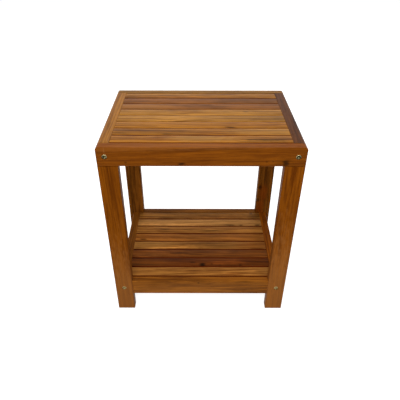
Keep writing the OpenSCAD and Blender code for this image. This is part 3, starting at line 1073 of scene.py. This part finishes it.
def brass(name, bright, dark_colour, tarnish, roughness):
    """Brass plating: tarnish patches, wiping scratches, and painted shade from the mesh and facing.
    """
    material, tree = new_material(name)
    coordinates = put(tree, "ShaderNodeTexCoord").outputs
    place = coordinates["Object"]
    painted_shade = put(tree, "ShaderNodeAttribute", attribute_name="painted_shade").outputs["Fac"]
    upward = put(tree, "ShaderNodeSeparateXYZ", {0: coordinates["Normal"]}).outputs["Z"]
    # painted shade: kept off faces that point up, and added on faces that point down
    away_from_top = smooth_step(tree, upward, *UPWARD_LEVELS, 1.0, 0.0)
    underside_shade = smooth_step(tree, upward, *UNDERSIDE_LEVELS, UNDERSIDE_SHADE, 0.0)
    painted_shade = calc(tree, "MULTIPLY_ADD", painted_shade, away_from_top, underside_shade)
    patches = noise(tree, place, TARNISH_REPEATS, detail=3.0)
    patches = smooth_step(tree, patches, *TARNISH_LEVELS, 0.0, tarnish)
    scratches = noise(tree, place, SCRATCH_REPEATS, detail=1.0)
    tarnish_and_shade = calc(tree, "ADD", patches, painted_shade, clamp=True)
    colour = mixed(tree, tarnish_and_shade, linear(bright), linear(dark_colour))
    parts = [(tarnish_and_shade, TARNISH_AND_SHADE_ROUGHNESS), (scratches, SCRATCH_ROUGHNESS)]
    rough = weighted_sum(tree, roughness, parts)
    shader = lay_surface(tree, colour, rough, scratches, SCRATCH_STRENGTH, SCRATCH_HEIGHT)
    shader.inputs["Metallic"].default_value = 1.0
    return material


# the dark colour serves both the tarnish and the painted shade
bolt_metal = brass("bolt_brass", "#e2d6a0", "#1d180b", tarnish=0.3, roughness=0.28)
# The shelf's bolts get a shaded copy of the same plating, dimmer on the rim and lower in contrast:
# painted shade for their place low under the seat.
shaded_bolt_metal = brass("shaded_bolt_brass", "#cdbf8e", "#7d6a3c", tarnish=0.45, roughness=0.38)
print("metals:", bolt_metal.name, shaded_bolt_metal.name)

# %% [markdown]
# Each joint has one bolt, so there are four at the seat and four at the shelf, on the front and on
# the back. A tree sets the bolt on each point, faces it the way the point says, and gives it its
# own chance turn about its axis, as a fitter would leave it. A sixth of a turn is enough for that,
# because the socket looks the same after each sixth.

# %% A tree that sets bolts
bolt_set, given, result = new_group(
    "GeometryNodeTree",
    "bolt_set",
    {"Geometry": ["Geometry"], "Object": ["Bolt"], "Int": ["Seed"], "Material": ["Material"]},
    {"Geometry": ["Geometry"]},
)
facing = {"Name": "facing"}
facing = put(bolt_set, "GeometryNodeInputNamedAttribute", facing, data_type="FLOAT_VECTOR")
turned = {"Vector": facing.outputs["Attribute"]}
turned = put(bolt_set, "FunctionNodeAlignRotationToVector", turned, axis="Z").outputs["Rotation"]
chance = put(bolt_set, "FunctionNodeRandomValue", {"Seed": given["Seed"]}, data_type="FLOAT")
chance.inputs[3].default_value = math.pi / 3
spin = put(bolt_set, "ShaderNodeCombineXYZ", {"Z": chance.outputs[1]}).outputs[0]
pattern = put(bolt_set, "GeometryNodeObjectInfo", {"Object": given["Bolt"]}).outputs["Geometry"]
bolts = {"Points": given["Geometry"], "Instance": pattern, "Rotation": turned}
bolts = put(bolt_set, "GeometryNodeInstanceOnPoints", bolts).outputs[0]
bolts = {"Instances": bolts, "Rotation": spin}
bolts = put(bolt_set, "GeometryNodeRotateInstances", bolts).outputs[0]
bolts = put(bolt_set, "GeometryNodeRealizeInstances", {"Geometry": bolts}).outputs[0]
bolts = {"Geometry": bolts, "Material": given["Material"]}
bolts = put(bolt_set, "GeometryNodeSetMaterial", bolts).outputs[0]
bolt_set.links.new(bolts, result["Geometry"])
print("bolt set nodes:", len(bolt_set.nodes))

# %% [markdown]
# The CAD bolts give the places. The box round the four bolts of a row ends at the rims of their
# heads on the left and right, so each axis lies half a head inside it. On the front and back it
# ends at the faces of the heads, which is where the pattern has its zero.

# %% Set the bolts
FRONT = (0, -1, 0)
BACK = (0, 1, 0)
BOLT_ROWS = {"seat_bolts": (bolt_metal, 4), "shelf_bolts": (shaded_bolt_metal, 9)}

for node, (metal, seed) in BOLT_ROWS.items():
    low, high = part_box(node)
    out = high.x - HEAD_WIDTH / 2
    up = (low.z + high.z) / 2
    points = bpy.data.meshes.new(node)
    points.from_pydata([(x, y, up) for x in (-out, out) for y in (low.y, high.y)], [], [])
    ways = points.attributes.new("facing", "FLOAT_VECTOR", "POINT")
    ways.data.foreach_set("vector", [*FRONT, *BACK] * 2)
    values = {"Bolt": bolt_pattern, "Seed": seed, "Material": metal}
    piece = grow("hex_" + node, bolt_set, points, values)
    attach(piece, "root")
    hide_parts(node)
    print(piece.name, len(piece.data.polygons), "faces")
bpy.data.objects.remove(bolt_pattern)

# %% [markdown]
# ## Barrel nuts and dowels
# These are hidden in the wood, apart from the ends of the nuts that show from below, so their CAD
# solids stay. The nuts are the same metal as the bolts, left duller. The dowels are beech, which
# is pale and has short darker flecks instead of rings.

# %% Dress nuts and dowels
FLECK_REPEATS = (900, 900, 900)
FLECK_LEVELS = (0.45, 0.7)
FLECK_STRENGTH = 0.2
FLECK_HEIGHT = 0.1 * MM

nut_metal = brass("nut_brass", "#b5a56c", "#4a3c1c", tarnish=0.6, roughness=0.34)
for node in ("seat_barrel_nuts", "shelf_barrel_nuts"):
    dress(node, nut_metal)

beech, tree = new_material("beech_dowel")
place = put(tree, "ShaderNodeTexCoord").outputs["Object"]
flecks = smooth_step(tree, noise(tree, place, FLECK_REPEATS, detail=3.0), *FLECK_LEVELS)
colour = mixed(tree, flecks, linear("#d2b083"), linear("#a9814f"))
rough = weighted_sum(tree, 0.5, [(flecks, 0.15)])
lay_surface(tree, colour, rough, flecks, FLECK_STRENGTH, FLECK_HEIGHT)
for node in ("front_frame_dowels", "back_frame_dowels"):
    dress(node, beech)
print("hidden fittings dressed")

# %% [markdown]
# ## Light
# The photograph is a studio picture with soft light and no shadow to speak of. A large softbox in
# front does most of it, because the front faces are almost as bright as the seat and the shelf is
# lit to its back edge. One behind the bench lights the ends of the slats and the back, and is kept
# out of reflections, where it would lay a grey film on the seat. A weaker one overhead and a dim
# white room fill in the rest. The room looks full white only to the camera and in reflections.

# %% Lamps and room
ROOM_LIGHT = 0.2
KEY_WATTS = 30
REAR_WATTS = 24
OVERHEAD_WATTS = 11


def lamp(name, place, target, side, watts):
    """Square softbox at a place, turned towards a target."""
    light = bpy.data.lights.new(name, "AREA")
    light.shape = "SQUARE"
    light.size = side
    light.energy = watts
    holder = add_object(name, light)
    holder.location = place
    holder.rotation_euler = (Vector(target) - Vector(place)).to_track_quat("-Z", "Y").to_euler()
    return holder


def seen_directly(tree):
    """1 for rays that should find a white background: from the camera, off gloss, through glass."""
    rays = put(tree, "ShaderNodeLightPath").outputs
    seen = calc(tree, "MAXIMUM", rays["Is Camera Ray"], rays["Is Glossy Ray"])
    return calc(tree, "MAXIMUM", seen, rays["Is Transmission Ray"])


lamp("key_softbox", (-0.2, -1.8, 1.75), target=(0, 0, 0.25), side=1.2, watts=KEY_WATTS)
rear = lamp("rear_softbox", (0.1, 1.9, 1.6), target=(0, 0, 0.25), side=1.6, watts=REAR_WATTS)
rear.visible_glossy = False
lamp("overhead_softbox", (0, -0.3, 2.2), target=(0, 0, 0.3), side=1.6, watts=OVERHEAD_WATTS)
world = bpy.data.worlds.new("white_room")
bpy.context.scene.world = world
world.use_nodes = True
room = world.node_tree
brightness = smooth_step(room, seen_directly(room), 0.0, 1.0, ROOM_LIGHT, 1.0)
room.nodes["Background"].inputs["Color"].default_value = (1, 1, 1, 1)
room.links.new(brightness, room.nodes["Background"].inputs["Strength"])

# %% [markdown]
# ## Floor
# The bench stands on plain white paper. Its colour takes the light and the bench's faint shadow,
# and a glow that only the camera and reflections see lifts it to the white of the background.

# %% White paper floor
FLOOR_SIDE = 12.0
FLOOR_GLOW = 0.87
PAPER_COLOUR = (0.6, 0.6, 0.6, 1)

edge = FLOOR_SIDE / 2
corners = [(-edge, -edge, 0), (edge, -edge, 0), (edge, edge, 0), (-edge, edge, 0)]
floor_mesh = bpy.data.meshes.new("floor")
floor_mesh.from_pydata(corners, [], [(0, 1, 2, 3)])
floor = add_object("floor", floor_mesh)
paper, tree = new_material("white_paper")
tree.nodes.clear()
matt = put(tree, "ShaderNodeBsdfDiffuse", {"Color": PAPER_COLOUR}).outputs[0]
glow = calc(tree, "MULTIPLY", seen_directly(tree), FLOOR_GLOW)
glow = put(tree, "ShaderNodeEmission", {"Color": (1, 1, 1, 1), "Strength": glow}).outputs[0]
both = put(tree, "ShaderNodeAddShader", {0: matt, 1: glow}).outputs[0]
put(tree, "ShaderNodeOutputMaterial", {"Surface": both})
floor_mesh.materials.append(paper)
bpy.context.scene.view_settings.view_transform = "Standard"
print("floor", FLOOR_SIDE, "m square")
